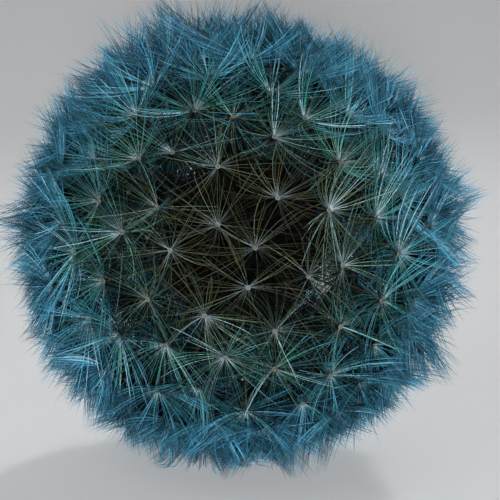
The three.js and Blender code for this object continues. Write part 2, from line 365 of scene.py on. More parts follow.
def add_piece(name, surfaces, materials, nodes):
    """A mesh object from its surfaces, riding on the root body in place of CAD nodes."""
    starts = np.cumsum([0] + [len(s.points) for s in surfaces[:-1]])
    points = np.concatenate([s.points for s in surfaces])
    corners = np.concatenate([s.corners + start for s, start in zip(surfaces, starts)])
    sizes = np.concatenate([s.sizes for s in surfaces])
    mesh = bpy.data.meshes.new(name)
    mesh.vertices.add(len(points))
    mesh.vertices.foreach_set("co", points.astype(np.float32).ravel())
    mesh.loops.add(len(corners))
    mesh.loops.foreach_set("vertex_index", corners.astype(np.int32))
    mesh.polygons.add(len(sizes))
    mesh.polygons.foreach_set("loop_start", (np.cumsum(sizes) - sizes).astype(np.int32))
    mesh.polygons.foreach_set("material_index", np.concatenate([s.slots for s in surfaces]))
    mesh.polygons.foreach_set("use_smooth", np.ones(len(sizes), bool))
    mesh.update(calc_edges=True)
    unwrapped = mesh.uv_layers.new(name="OFBake")
    unwrapped.data.foreach_set(
        "uv", np.concatenate([s.uv for s in surfaces]).astype(np.float32).ravel())
    for mark in sorted({key for s in surfaces for key in s.marks}):
        values = [s.marks.get(mark, np.zeros(len(s.points))) for s in surfaces]
        layer = mesh.attributes.new(mark, "FLOAT", "POINT")
        layer.data.foreach_set("value", np.concatenate(values).astype(np.float32))
    if mesh.validate():
        raise RuntimeError(f"{name} has faulty faces")
    piece = bpy.data.objects.new(name, mesh)
    bpy.context.scene.collection.objects.link(piece)
    for material in materials:
        mesh.materials.append(material)
    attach(piece, "root")
    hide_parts(*nodes)


# ---------------------------------------------------------------------------------------------
# Materials
# ---------------------------------------------------------------------------------------------


class Paint:
    """A material's node tree, with short ways to add nodes to it."""

    def __init__(self, tree):
        self.tree = tree

    def join(self, made, inputs):
        """A node with inputs joined to sockets or given values."""
        for key, value in dict(inputs).items():
            if isinstance(value, bpy.types.NodeSocket):
                self.tree.links.new(value, made.inputs[key])
            else:
                made.inputs[key].default_value = value
        return made

    def node(self, kind, inputs=(), **settings):
        """A new node with its settings and its inputs."""
        made = self.tree.nodes.new(kind)
        for key, value in settings.items():
            setattr(made, key, value)
        return self.join(made, inputs)

    def mark(self, name):
        """A number that the mesh holds at each point."""
        return self.node("ShaderNodeAttribute", attribute_name=name).outputs["Fac"]

    def mix(self, mask, a, b):
        """Colour a where the mask is 0 and b where it is 1."""
        made = self.node("ShaderNodeMix", {0: mask, 6: a, 7: b}, data_type="RGBA")
        return made.outputs[2]

    def maths(self, operation, a, b=0.0):
        """One sum on one or two numbers."""
        return self.node("ShaderNodeMath", {0: a, 1: b}, operation=operation).outputs[0]

    def ramp(self, value, low, high, to_low=0.0, to_high=1.0):
        """A number between low and high, eased in and out and carried to a new range."""
        return self.node("ShaderNodeMapRange",
                         {"Value": value, "From Min": low, "From Max": high,
                          "To Min": to_low, "To Max": to_high},
                         interpolation_type="SMOOTHSTEP").outputs["Result"]

    def noise(self, place, scale, detail):
        """Soft noise round 0.5 at a place."""
        return self.node("ShaderNodeTexNoise", {"Vector": place, "Scale": scale,
                                                "Detail": detail}).outputs["Fac"]

    def grain(self, place, stretch, scale):
        """The streak and fleck masks of the grain group at a place."""
        made = self.node("ShaderNodeGroup", {"Place": place, "Stretch": stretch, "Scale": scale},
                         node_tree=grain_group())
        return made.outputs["Streak"], made.outputs["Fleck"]

    def object_place(self):
        """The place on the piece, in its own coordinates."""
        return self.node("ShaderNodeTexCoord").outputs["Object"]

    def shade(self, body, rough, gloss=0.5, bump=None):
        """The Principled shader's base colour, roughness and specular level, and its bump as a
        height, a strength and a distance."""
        inputs = {"Base Color": body, "Roughness": rough, "Specular IOR Level": gloss}
        if bump:
            settings = dict(zip(("Height", "Strength", "Distance"), bump))
            inputs["Normal"] = self.node("ShaderNodeBump", settings).outputs["Normal"]
        self.join(self.tree.nodes["Principled BSDF"], inputs)


def material(name):
    """A new material and its Paint."""
    made = bpy.data.materials.new(name)
    made.use_nodes = True
    return made, Paint(made.node_tree)


def scaled(tone, share):
    """A colour made darker or paler, with full alpha."""
    return (*[min(1.0, share * c) for c in tone[:3]], 1.0)


def grain_group():
    """Fine streaks along a surface. Noise is read at the given place times Stretch, so that it
    draws out along the third axis, and comes out as Streak and, finer, as Fleck, both 0 to 1."""
    found = bpy.data.node_groups.get("Plant grain")
    if found:
        return found
    tree = bpy.data.node_groups.new("Plant grain", "ShaderNodeTree")
    for name, kind in (("Place", "Vector"), ("Stretch", "Vector"), ("Scale", "Float")):
        tree.interface.new_socket(name=name, in_out="INPUT", socket_type=f"NodeSocket{kind}")
    for name in ("Streak", "Fleck"):
        tree.interface.new_socket(name=name, in_out="OUTPUT", socket_type="NodeSocketFloat")
    paint = Paint(tree)
    given = paint.node("NodeGroupInput").outputs
    place = paint.node("ShaderNodeVectorMath", {0: given["Place"], 1: given["Stretch"]},
                       operation="MULTIPLY").outputs[0]
    finer = paint.maths("MULTIPLY", given["Scale"], 4.3)
    paint.node("NodeGroupOutput",
               {"Streak": paint.ramp(paint.noise(place, given["Scale"], 3.0), 0.32, 0.68),
                "Fleck": paint.ramp(paint.noise(place, finer, 2.0), 0.35, 0.65)})
    return tree


def hair_material(look):
    """Silky hairs: grey and olive near the head's apex, then teal, then blue from the rim to the
    back and towards each tip, with greener and lilac ones among them. Each hair has its own tone,
    from dark to light, which carries painted light and shade; the brightest strands get a pale
    painted highlight, and so does the root of a light hair."""
    made, paint = material("pappus hair")
    tint, tone, along, apex = (paint.mark(name) for name in ("tint", "tone", "along", "apex"))
    inward = paint.maths("SUBTRACT", apex, paint.maths("MULTIPLY", along, 0.25))
    outer = paint.mix(paint.ramp(inward, 0.3, 0.75), look.hair_blue, look.hair_teal)
    outer = paint.mix(paint.ramp(tint, 0.72, 0.95, 0.0, 0.7), outer, look.hair_green)
    outer = paint.mix(paint.ramp(tint, 0.3, 0.05, 0.0, 0.6), outer, look.hair_lilac)
    middle = paint.mix(paint.ramp(tint, 0.5, 0.9), look.hair_grey, look.hair_olive)
    body = paint.mix(paint.ramp(apex, 0.7, 1.0), outer, middle)
    # Painted highlight: the brightest tones turn pale.
    body = paint.mix(paint.ramp(tone, 0.95, 1.5, 0.0, 0.8), body, look.hair_highlight)
    # Low tones, dark at random or from painted shade, go to near black.
    body = paint.mix(tone, look.hair_dark_and_shade, body)
    # Painted highlight at the root of a light hair.
    root = paint.maths("MULTIPLY", paint.ramp(along, 0.0, 0.26, 0.85, 0.0),
                       paint.ramp(tone, 0.0, 0.6))
    paint.shade(paint.mix(root, body, look.hair_root_highlight), 0.5, 0.03)
    return made


def hub_material(look):
    """The small disc under the hairs: a brown dimple in a grey-green rim."""
    made, paint = material("pappus disc")
    rim = paint.ramp(paint.mark("radius"), 0.35, 0.8)
    paint.shade(paint.mix(rim, look.hub_middle, look.hub_rim), 0.6, 0.2)
    return made


def beak_material(look):
    """The thread-like beak, faintly flecked: painted shade makes it nearly black on most seeds,
    picked at random, and it is brown on the rest."""
    made, paint = material("beak")
    streak, _ = paint.grain(paint.object_place(), (1, 1, 1), 900.0)
    body = paint.mix(paint.ramp(paint.mark("along"), 0.35, 1.0), look.beak, look.beak_tip)
    # Painted shade: most seeds' beaks go near black.
    body = paint.mix(paint.ramp(paint.mark("tint"), 0.55, 1.0), look.beak_fleck_and_shade, body)
    body = paint.mix(paint.maths("MULTIPLY", streak, 0.45), body, look.beak_fleck_and_shade)
    paint.shade(body, 0.5, 0.15)
    return made


def fruit_material(look):
    """The dry fruit: a very dark brown, painted shade for the fruits deep in the ball, with
    slightly paler ribs and a rough, flecked skin.
    """
    made, paint = material("fruit")
    streak, fleck = paint.grain(paint.object_place(), (1, 1, 1), 1600.0)
    # Painted shade: a near-black body with slightly paler ribs.
    body = paint.mix(paint.ramp(paint.mark("rib"), 0.3, 1.0), look.fruit, look.fruit_rib)
    body = paint.mix(paint.maths("MULTIPLY", streak, 0.6), body, scaled(look.fruit, 0.45))
    paint.shade(body, 0.7, 0.02, bump=(fleck, 0.4, 0.05 * MM))
    return made


# ---------------------------------------------------------------------------------------------
# Seeds
# ---------------------------------------------------------------------------------------------

HAIR_STATIONS = [-0.93, -0.8, -0.4, 0.0, 0.3, 1.0]    # cosines from the apex
HAIRS_AT = ["last", "late", "back", "rim", "rim", "front"]      # which setting holds there
LENGTHS_AT = ["last", "last", "back", "rim", "rim", "front"]
DIAMETERS_AT = ["back", "back", "back", "rim", "rim", "front"]
HAIR_STEPS = 4
HAIR_PLACES = np.linspace(0, 1, HAIR_STEPS + 1)       # from root to tip
HAIR_SIDES = 3
HAIR_TAPER = (0.45, 0.55, 0.8)      # the tip's share of the radius, the rest, and how it falls
HAIR_ROOT = (0.2 * MM, 0.12 * MM)   # outwards and along the beak from the hub
HAIR_TURN = 0.45                    # how far a hair strays round its hub, in hairs
HAIR_STRAY = 0.17                   # how far its angle to the beak varies, in radians
HAIR_REACH = (0.56, 1.1)            # the shortest and longest, over the length for its place
HAIR_SWAY = 0.14 * MM               # how far it wavers sideways
BUNDLE = 5                          # neighbouring hairs that close up together
SLANT = 0.6 * HEAD_TOP - 0.8 * HEAD_SIDE              # up and to the left
SLANT_GROWTH = 0.08                 # how much longer the hairs are that way

TUFTS = 230                         # over the whole ball
TUFT_DISTANCE = 24.1 * MM
TUFT_JITTER = (0.05, 1.6 * MM)      # sideways, over the distance, and in the distance
TUFT_REACH = 2.6 * MM               # from how far aside a tuft draws hair tips
COMB_WAVE = 0.28                    # how much of the sweep is the wave over the whole ball
COMB_PATCH = 1.2                    # and how much is the patch
COMB_PLACE = (0.52, 0.34)           # the patch's middle, to the right of the apex and up
COMB_SPREAD = 0.1                   # the square of its reach

FRUIT_SIDES = 12
FRUIT_OUTLINE = np.array([          # place along the fruit and radius, in millimetres
    [0.0, 0.12], [0.25, 0.24], [1.0, 0.38], [1.8, 0.47], [2.5, 0.5], [3.0, 0.43], [3.35, 0.24],
    [3.8, 0.1]]) * MM
FRUIT_SINK = 0.1 * MM               # of its foot into its dimple
FRUIT_GROOVE = 0.8                  # the radius between its ribs, over that on them
TOOTH = 0.09 * MM
TOOTHED_FROM = (1.6 * MM, 0.2 * MM)                   # place along the fruit, and least radius

BEAK_STEPS = 8
BEAK_SIDES = 5
BEAK_RADIUS = 0.062 * MM
BEAK_TAPER = (1.15, 0.3)            # its radius at the fruit over that, and how much it loses
BEAK_ENDS = (0.15 * MM, 0.1 * MM)   # how far it runs into the fruit and the hub

HUB_SIDES = 10
HUB_OUTLINE = np.array([
    [-0.25, 0.06], [-0.05, 0.1], [0.07, 0.22], [0.15, 0.27], [0.21, 0.24], [0.2, 0.13],
    [0.14, 0.03]]) * MM
HUB_LEAN = 0.13                     # from the seed's own line, in radians

FRUIT_BAND = (0.86, 1.0)            # heights in the unwrapping
BEAK_BAND = (0.83, 0.855)
HUB_BAND = (0.80, 0.825)
HAIR_BAND = 0.79
HAIR_COLUMNS = 10                   # of hairs' patches below that height

OBLIQUE = [0.31, 0.22, 0.93]        # a direction that no seed points in
TABLE_EASE = 0.12 * MM              # how softly hairs bend off the table
STALK_EASE = 0.5 * MM               # and away from the stalk
STALK_CLEARANCE = 2.3 * MM          # hairs keep this far from the stalk's line


def above(value, bound, ease):
    """A value x held above a bound b: (x + b + the square root of (x - b)^2 + ease^2) / 2."""
    return (value + bound + np.sqrt((value - bound) ** 2 + ease ** 2)) / 2


def spiral(i, z):
    """Unit vectors at heights z along the head's axis, each turned from the last by the golden
    angle."""
    ring = np.sqrt(1 - z * z)
    return np.stack([ring * np.cos(i * GOLDEN_ANGLE), ring * np.sin(i * GOLDEN_ANGLE), z], axis=-1)


def field(i, end):
    """Unit vectors to the seeds' places: even steps along the head's axis from the apex to the
    angle where the field ends, on a spiral."""
    return spiral(i, 1 - (1 - np.cos(end)) * (i + 0.5) / (ROWS * SEEDS_PER_ROW))


def hub_field(i):
    """Unit vectors to the hubs: their places in the field, leaned a little at random along and
    across the ball."""
    hub = field(i, HUB_FIELD_END)
    across = unit(np.stack([-hub[:, 1], hub[:, 0], 0 * hub[:, 0]], axis=-1))
    return unit(hub + HUB_SCATTER * scatter(i, 1)[:, None] * across
                + HUB_SCATTER * scatter(i, 2)[:, None] * np.cross(across, hub))


def tuft_field(rng):
    """Where hair tips draw together: even places on a ball, jittered, with each one's strength,
    weak near the apex and the stalk, and its brightness."""
    i = np.arange(TUFTS)
    places = spiral(i, 1 - 2 * (i + 0.5) / TUFTS)
    places = unit(places + rng.normal(0, TUFT_JITTER[0], (TUFTS, 3)))
    polar = np.arccos(places[:, 2])
    strength = (rng.uniform(0.65, 1, TUFTS) * smooth(polar, 0.5, 1.1)
                * (1 - 0.85 * smooth(polar, 1.65, 2.0)))
    reach = TUFT_DISTANCE + rng.normal(0, TUFT_JITTER[1], TUFTS)
    return turned(places) * reach[:, None], strength, rng.uniform(0, 1, TUFTS)


def combing(tips, look):
    """How far tips are swept sideways: a gentle wave over the ball, plus a patch up and to the
    right of the apex whose hairs are all combed outwards, fading as a bell curve round it. Also
    gives how far each tip lies in the patch."""
    way = unit(tips)
    x, y, z = way @ HEAD_SIDE, way @ HEAD_TOP, way @ HEAD_AXIS
    wave = COMB_WAVE * np.stack([
        np.sin(4.1 * y + 5.3 * z + 0.4), np.sin(4.7 * z - 3.9 * x + 1.9),
        np.sin(4.4 * x + 3.6 * y + 3.1)], axis=-1)
    apart = (x - COMB_PLACE[0]) ** 2 + (y - COMB_PLACE[1]) ** 2
    patch = COMB_PATCH * np.exp(-apart / COMB_SPREAD) * (z > 0)
    swept = look.sweep * (wave + patch[:, None] * unit(0.8 * HEAD_SIDE + 0.6 * HEAD_TOP))
    return swept - way * (swept * way).sum(-1, keepdims=True), patch


def at_stations(place, look, kind, stations):
    """A look's hairs, length or diameter at places between the stations."""
    return np.interp(place, HAIR_STATIONS, [getattr(look, f"{kind}_{name}") for name in stations])


def spray(owner, hubs, axes, look, rng):
    """Hairs as they leave their hubs, even round the beak's line but for a little scatter. A hair
    starts at an angle from that line and turns back towards it as it goes: its direction is
    sin(angle) outwards plus cos(angle) along the beak, and the path is that direction added up.
    Also gives each hair's number on its seed, and its way outwards."""
    count = len(owner)
    number = np.arange(count) - np.searchsorted(owner, np.arange(len(hubs)))[owner]
    share = TAU / np.bincount(owner)[owner]
    stray = rng.uniform(-HAIR_TURN, HAIR_TURN, count)
    turn = (number + stray) * share + rng.uniform(0, TAU, len(hubs))[owner]
    slant = ((hubs - HEAD_CENTRE) @ SLANT / HUB_DISTANCE)[owner]
    leave = look.opening + rng.normal(0, HAIR_STRAY, count) - look.lift * slant
    longest = at_stations(axes @ HEAD_AXIS, look, "length", LENGTHS_AT)[owner]
    reach = longest * (1 + SLANT_GROWTH * slant) * rng.uniform(*HAIR_REACH, count)
    axis = axes[owner]
    square = unit(np.cross(axes, OBLIQUE))[owner]
    outwards = np.cos(turn)[:, None] * square + np.sin(turn)[:, None] * np.cross(axis, square)
    halfway = (HAIR_PLACES[1:] + HAIR_PLACES[:-1]) / 2
    lean = (leave[:, None] - look.rise * halfway)[..., None]
    step = np.sin(lean) * outwards[:, None] + np.cos(lean) * axis[:, None]
    way = np.cumsum(step, axis=1) * (reach / HAIR_STEPS)[:, None, None]
    way = np.concatenate([np.zeros_like(way[:, :1]), way], axis=1)
    root = hubs[owner] + HAIR_ROOT[0] * outwards + HAIR_ROOT[1] * axis
    return root[:, None] + way, number, outwards


def bundled(path, number, axis, look, rng):
    """Hairs closed up towards their bundle's mean line, more towards the tips, and not at the
    back of the ball. Also gives how far each hair closes up, and its bundle's own brightness."""
    first = number % BUNDLE == 0
    bundle = np.cumsum(first) - 1
    mean = np.add.reduceat(path, np.flatnonzero(first)) / np.bincount(bundle)[:, None, None]
    bond = (look.bond * rng.uniform(0, 1, len(mean))[bundle] ** 2
            * smooth(axis @ HEAD_AXIS, -0.3, 0.1))
    path = path + (bond[:, None] * HAIR_PLACES)[..., None] * (mean[bundle] - path)
    return path, bond, rng.uniform(0, 1, len(mean))[bundle]


def tufted(path, tufts, look, rng):
    """Hairs whose outer part is combed and then drawn to the nearest tuft. Also gives how far each
    lies in the combed patch, how far it is drawn, and its tuft's brightness."""
    combed, patch = combing(path[:, -1] - HEAD_CENTRE, look)
    path = path + HAIR_PLACES[:, None] ** 1.6 * combed[:, None]
    places, strength, shade = tufts
    tips = path[:, -1] - HEAD_CENTRE
    apart = np.linalg.norm(unit(tips)[:, None] - unit(places)[None], axis=-1) * TUFT_DISTANCE
    nearest = apart.argmin(axis=1)
    pull = (look.gather * strength[nearest] * np.exp(-(apart.min(axis=1) / TUFT_REACH) ** 4)
            * rng.uniform(0.55, 1, len(path)))
    drawn = (pull[:, None] * HAIR_PLACES ** 1.8)[..., None]
    return path + drawn * (places[nearest] - tips)[:, None], patch, pull, shade[nearest]


def kept_clear(path, radius):
    """Hairs bent off the table and, behind the ball's middle, away from the stalk."""
    path = path.copy()
    path[..., 2] = above(path[..., 2], 0, TABLE_EASE) + radius[:, None]
    depth = (path - HEAD_CENTRE) @ HEAD_AXIS
    off = path - HEAD_CENTRE - depth[..., None] * HEAD_AXIS
    distance = np.linalg.norm(off, axis=-1)
    clear = above(distance, STALK_CLEARANCE, STALK_EASE)
    return path + np.where(depth < 0, clear / distance - 1, 0)[..., None] * off


def hair_paths(owner, hubs, axes, radius, tufts, look, rng):
    """Every hair's middle line: sprayed from its hub, bundled, combed, drawn into a tuft, swayed a
    little, and kept clear of the table and the stalk. Also gives the direction square to each, its
    bundle's brightness, and how much lighter it is: its tuft's own tone, plus a painted highlight
    where it is drawn into a tuft, bundled or combed in the patch."""
    count = len(owner)
    axis = axes[owner]
    path, number, outwards = spray(owner, hubs, axes, look, rng)
    path, bond, glow = bundled(path, number, axis, look, rng)
    path, patch, pull, shade = tufted(path, tufts, look, rng)
    sideways = np.cross(axis, outwards)
    sway = (rng.normal(0, HAIR_SWAY, count)[:, None] * np.sin(np.pi * HAIR_PLACES)
            + rng.normal(0, HAIR_SWAY, count)[:, None] * HAIR_PLACES ** 2)
    path = kept_clear(path + sway[..., None] * sideways[:, None], radius)
    # The tuft's own random tone, plus a painted highlight on hairs drawn into tufts, bundled or in
    # the combed patch.
    tone_and_highlight = (0.3 * (shade - 0.5)
               + (0.35 * pull + 0.2 * bond + 0.4 * patch) * (0.2 + 1.2 * glow ** 2))
    return path, sideways, glow, tone_and_highlight


def hair_tones(owner, apex, glow, tone_and_highlight, rng):
    """How light each hair is at each step, from 0 up. Most hairs are dark and a few are light, by
    a power of a random number shared in part with the bundle. Painted light and shade: hairs in
    front of the rim are painted lighter, the most near the apex, and behind it a hair gets painted
    shade near its hub, while away from the apex its outer part keeps a least tone. The painted
    highlights of tufts, bundles and the combed patch are added on."""
    even = rng.uniform(0, 1, len(owner))
    # Painted light and shade: hairs lighter towards the front and the apex, darker behind the rim.
    front = smooth(apex, 0.35, 0.75)[owner]
    middle = smooth(apex, 0.85, 0.97)[owner]
    lit = smooth(apex, -0.35, 0.35)[owner]
    own = rng.uniform(0.65, 1.35, len(apex))[owner]
    share = (0.55 * even + 0.45 * glow) ** (3 + middle)
    tone = own * (0.02 + (0.5 + 0.65 * lit + 0.15 * front + 0.5 * middle) * share) + tone_and_highlight
    tone = np.clip(tone, 0, 1.5)[:, None]
    # Painted shade near the hub on hairs behind the rim; their outer parts keep a least tone, which
    # lifts it.
    inner = 0.9 * (1 - lit)[:, None] * (1 - smooth(HAIR_PLACES, 0.35, 0.9))
    least = (0.3 + 0.65 * (1 - lit) ** 2) * (1 - front) * (0.6 + 0.8 * even)
    return np.maximum(tone * (1 - inner), least[:, None] * smooth(HAIR_PLACES, 0.4, 1.0))


def fruit_surface(feet, base):
    """Fruits: a turned outline whose radius dips between six ribs, with blunt teeth on the ribs
    near the top."""
    place, radius = FRUIT_OUTLINE.T
    rings = len(place)
    ridge = np.arange(FRUIT_SIDES) % 2 == 0
    toothed = ((place > TOOTHED_FROM[0]) & (radius > TOOTHED_FROM[1])
               & (np.arange(rings) % 2 == 0))
    shape = (radius[:, None] * np.where(ridge, 1.0, FRUIT_GROOVE)
             + TOOTH * ridge * toothed[:, None])
    along = feet[:, None].repeat(rings, axis=1)
    return loft(ring_points(base[:, None] + place[:, None] * along, shape[None],
                            np.cross(along, OBLIQUE), FRUIT_SIDES, along),
                cells_between(FRUIT_BAND, len(feet)), slot=0, rib=ridge.astype(float))


def beak_surface(feet, base, hubs, axes, rng):
    """Beaks: a cubic from the fruit's neck to the hub that leaves along the fruit and arrives
    along the hub's own line."""
    t = np.linspace(0, 1, BEAK_STEPS + 1)[:, None]
    start = (base + feet * (FRUIT_OUTLINE[-1, 0] - BEAK_ENDS[0]))[:, None]
    stop = (hubs - BEAK_ENDS[1] * axes)[:, None]
    span = np.linalg.norm(stop - start, axis=-1, keepdims=True)
    path = ((2 * t ** 3 - 3 * t ** 2 + 1) * start + (t ** 3 - 2 * t ** 2 + t) * span * feet[:, None]
            + (3 * t ** 2 - 2 * t ** 3) * stop + (t ** 3 - t ** 2) * span * axes[:, None])
    radii = BEAK_RADIUS * (BEAK_TAPER[0] - BEAK_TAPER[1] * t.T)
    return loft(ring_points(path, radii, np.cross(feet, OBLIQUE)[:, None], BEAK_SIDES),
                cells_between(BEAK_BAND, len(feet)), slot=1, along=t,
                tint=rng.uniform(0, 1, (len(feet), 1, 1)))


def hub_surface(hubs, axes):
    """Hubs: a small turned disc with a dimple."""
    place, radius = HUB_OUTLINE.T
    along = axes[:, None].repeat(len(place), axis=1)
    return loft(ring_points(hubs[:, None] + place[:, None] * along, radius[None],
                            np.cross(along, OBLIQUE), HUB_SIDES, along),
                cells_between(HUB_BAND, len(hubs)), slot=2, radius=(radius / radius.max())[:, None])


def hair_surface(hubs, axes, apex, tufts, look, rng):
    """Hairs: thin tapering tubes, more of them on a seed the nearer it is to the stalk."""
    hairs = at_stations(apex, look, "hairs", HAIRS_AT).astype(int)
    owner = np.arange(len(hubs)).repeat(hairs)
    count = len(owner)
    radius = at_stations(apex, look, "diameter", DIAMETERS_AT)[owner] / 2
    path, sideways, glow, tone_and_highlight = hair_paths(owner, hubs, axes, radius, tufts, look, rng)
    tip, rest, fall = HAIR_TAPER
    radii = radius[:, None] * (tip + rest * (1 - HAIR_PLACES) ** fall)
    lines = -(-count // HAIR_COLUMNS)
    number = np.arange(count)
    cells = np.stack([number % HAIR_COLUMNS / HAIR_COLUMNS,
                      number // HAIR_COLUMNS / lines * HAIR_BAND,
                      np.full(count, 1 / HAIR_COLUMNS), np.full(count, HAIR_BAND / lines)], -1)
    tone = hair_tones(owner, apex, glow, tone_and_highlight, rng)
    return needles(path, radii, sideways[:, None], HAIR_SIDES, cells, slot=3, along=HAIR_PLACES,
                   tint=rng.uniform(0, 1, (count, 1)), tone=tone, apex=apex[owner][:, None])


def seed_surfaces(row, tufts, look, rng):
    """The surfaces of one spiral row of seeds."""
    i = row + ROWS * np.arange(SEEDS_PER_ROW)
    feet = turned(field(i, SEED_FIELD_END))
    base = HEAD_CENTRE + feet * (RECEPTACLE_RADIUS - FRUIT_SINK)
    directions = turned(hub_field(i))
    hubs = HEAD_CENTRE + directions * (HUB_DISTANCE + BEAK_SCATTER * scatter(i, 3))[:, None]
    axes = unit(directions + rng.normal(0, HUB_LEAN, (len(i), 3)))
    return [fruit_surface(feet, base), beak_surface(feet, base, hubs, axes, rng),
            hub_surface(hubs, axes),
            hair_surface(hubs, axes, directions @ HEAD_AXIS, tufts, look, rng)]


class DANDELION_OT_seeds(Operator):
    """Build the seeds, one piece for each spiral row"""

    bl_idname = "dandelion.seeds"
    bl_label = "Seeds"

    def execute(self, context):
        look = context.scene.dandelion_seeds
        materials = [fruit_material(look), beak_material(look), hub_material(look),
                     hair_material(look)]
        rng = np.random.default_rng(RANDOM_START)
        tufts = tuft_field(rng)
        for row, node in enumerate(ROW_NODES):
            add_piece(f"seeds_{node[-2:]}", seed_surfaces(row, tufts, look, rng), materials,
                      [node])
        return {"FINISHED"}


# ---------------------------------------------------------------------------------------------
# Stalk and receptacle
# ---------------------------------------------------------------------------------------------

STALK_START = 0.9 * RECEPTACLE_RADIUS                 # within the receptacle
STALK_STEPS = 108
STALK_SIDES = 78
RIB_DRIFT = ((0.15, 19 * MM), (0.0625, 7 * MM))       # how the ribs wander: waves' sizes and paces
STALK_SWELL = (0.02, 11 * MM)       # a wave in the outside's radius, over the radius
STALK_TWIST = (0.02 * MM, 8 * MM)   # a wave with three crests round it
BORE_SWELL = (0.02, 5 * MM)         # the same inside, over the bore
CUT_BEYOND = np.array([0, 0.05, 0.05, 0]) * MM        # the wall's rounded edge, past the cut
CUT_OUTSIDE = np.array([-0.05, -0.2]) * MM            # its radii over the outside's
CUT_INSIDE = np.array([0.12, 0.03]) * MM              # and over the bore's
CUT_WITHIN = [0, 0.3, 0.8, 1]       # how far its colour is the inside's
STAIN_LENGTH = 5 * MM
STALK_BAND = (0, 0.6)               # heights in the unwrapping
DOME_BAND = (0.62, 1)

DOME_SIDES = 96
DOME_START, DOME_SECOND = np.radians(1.0), 0.06       # its first two rings, from the apex
DOME_RINGS = 44
CONE_RINGS = 5
PIT_DEPTH = 0.12 * MM
PIT_RADIUS = 0.5 * MM


def swing(distance, size, pace):
    """A wave along the stalk: size times the sine of the distance over the pace."""
    return size * np.sin(distance / pace)


def stalk_line(start, steps):
    """The stalk's middle line and the way it runs, from a point on the head's axis to the cut:
    straight, then a quadratic curve that lays it on the table. Also each point's distance."""
    away = -HEAD_AXIS
    knee = HEAD_CENTRE + away * (HEAD_CENTRE[2] - STALK_RADIUS) / np.sin(HEAD_TILT)
    bend = HEAD_CENTRE + away * STALK_STRAIGHT
    end = knee + [STALK_SWAY, STALK_BEND_END, 0]
    t = np.linspace(0, 1, 2 * steps // 3)[:, None]
    straight = np.linspace(start, STALK_STRAIGHT, steps // 3, endpoint=False)[:, None]
    line = np.concatenate([HEAD_CENTRE + straight * away,
                           (1 - t) ** 2 * bend + 2 * t * (1 - t) * knee + t ** 2 * end])
    way = np.concatenate([np.broadcast_to(away, (len(straight), 3)),
                          unit((1 - t) * (knee - bend) + t * (end - knee))])
    step = np.linalg.norm(np.diff(line, axis=0), axis=1)
    return line, way, start + np.concatenate([[0], np.cumsum(step)])


def stalk_surface(look):
    """The hollow stalk: one skin that runs down the outside, over the cut and back up the inside.
    The outside's radius carries fine ribs (a cosine round the stalk), swells and narrows a little
    along it, and is drawn in at the cut, where the wall's edge is rounded."""
    line, way, distance = stalk_line(STALK_START, STALK_STEPS)
    turn = np.arange(STALK_SIDES) * TAU / STALK_SIDES
    drift = sum(swing(distance, *wave) for wave in RIB_DRIFT)
    rib = np.cos(look.ribs * (turn + drift[:, None]))
    swell = swing(distance, *STALK_SWELL) - STALK_SWELL[0]
    twist = STALK_TWIST[0] * np.sin(3 * turn + distance[:, None] / STALK_TWIST[1])
    outer = STALK_RADIUS * (1 + swell)[:, None] + look.rib_height * (rib - 1) + twist
    back = np.flatnonzero(distance > BORE_START)[::-1]
    bore = STALK_BORE * (1 + swing(distance[back], *BORE_SWELL))[:, None]
    inner = np.concatenate([STALK_BORE + CUT_INSIDE[:, None], bore])
    cut = len(CUT_BEYOND)
    path = np.concatenate([line, line[-1] + way[-1] * CUT_BEYOND[:, None], line[back]])
    ways = np.concatenate([way, way[-1:].repeat(cut, axis=0), way[back]])
    radii = np.concatenate([outer, outer[-1:] + CUT_OUTSIDE[:, None],
                            inner.repeat(STALK_SIDES, axis=1)])
    place = np.concatenate([distance, distance[-1:].repeat(cut), distance[back]])
    within = np.concatenate([np.zeros(len(line)), CUT_WITHIN, np.ones(len(back))])
    groove = np.concatenate([(1 - rib) / 2, np.zeros((cut + len(back), STALK_SIDES))])
    rings = ring_points(path[None], radii[None], HEAD_SIDE, STALK_SIDES, ways[None])
    return loft(rings, cells_between(STALK_BAND, 1), slot=0, place=place[:, None] / MM,
                within=within[:, None], groove=groove, round_x=np.cos(turn), round_y=np.sin(turn),
                end=smooth(place, distance[-1] - STAIN_LENGTH, distance[-1])[:, None])


def receptacle_surface():
    """The receptacle: a dome, then a cone down to the stalk, turned about the head's axis. The
    dome is dimpled where each fruit stands, by a bell curve of its distance from the foot."""
    angles = np.concatenate([[DOME_START], np.linspace(DOME_SECOND, RECEPTACLE_RIM, DOME_RINGS)])
    cone = np.linspace(*CONE, CONE_RINGS)
    radius = np.concatenate([RECEPTACLE_RADIUS * np.sin(angles), cone[:, 0]])
    height = np.concatenate([RECEPTACLE_RADIUS * np.cos(angles), cone[:, 1]])
    path = HEAD_CENTRE + height[:, None] * HEAD_AXIS
    along = np.broadcast_to(-HEAD_AXIS, path.shape)
    rings = ring_points(path[None], radius[None], HEAD_SIDE, DOME_SIDES, along[None])
    local = rings - HEAD_CENTRE
    feet = turned(field(np.arange(ROWS * SEEDS_PER_ROW), SEED_FIELD_END)) * RECEPTACLE_RADIUS
    apart = np.linalg.norm(local[..., None, :] - feet, axis=-1).min(axis=-1)
    ring = np.arange(len(height))[:, None]
    pit = np.exp(-(apart / PIT_RADIUS) ** 2) * (ring < len(angles))
    rings = rings - unit(local) * (PIT_DEPTH * pit)[..., None]
    skin = ring < len(angles) - 2
    return loft(rings, cells_between(DOME_BAND, 1), slot=1, pit=pit[0], skin=skin.astype(float))


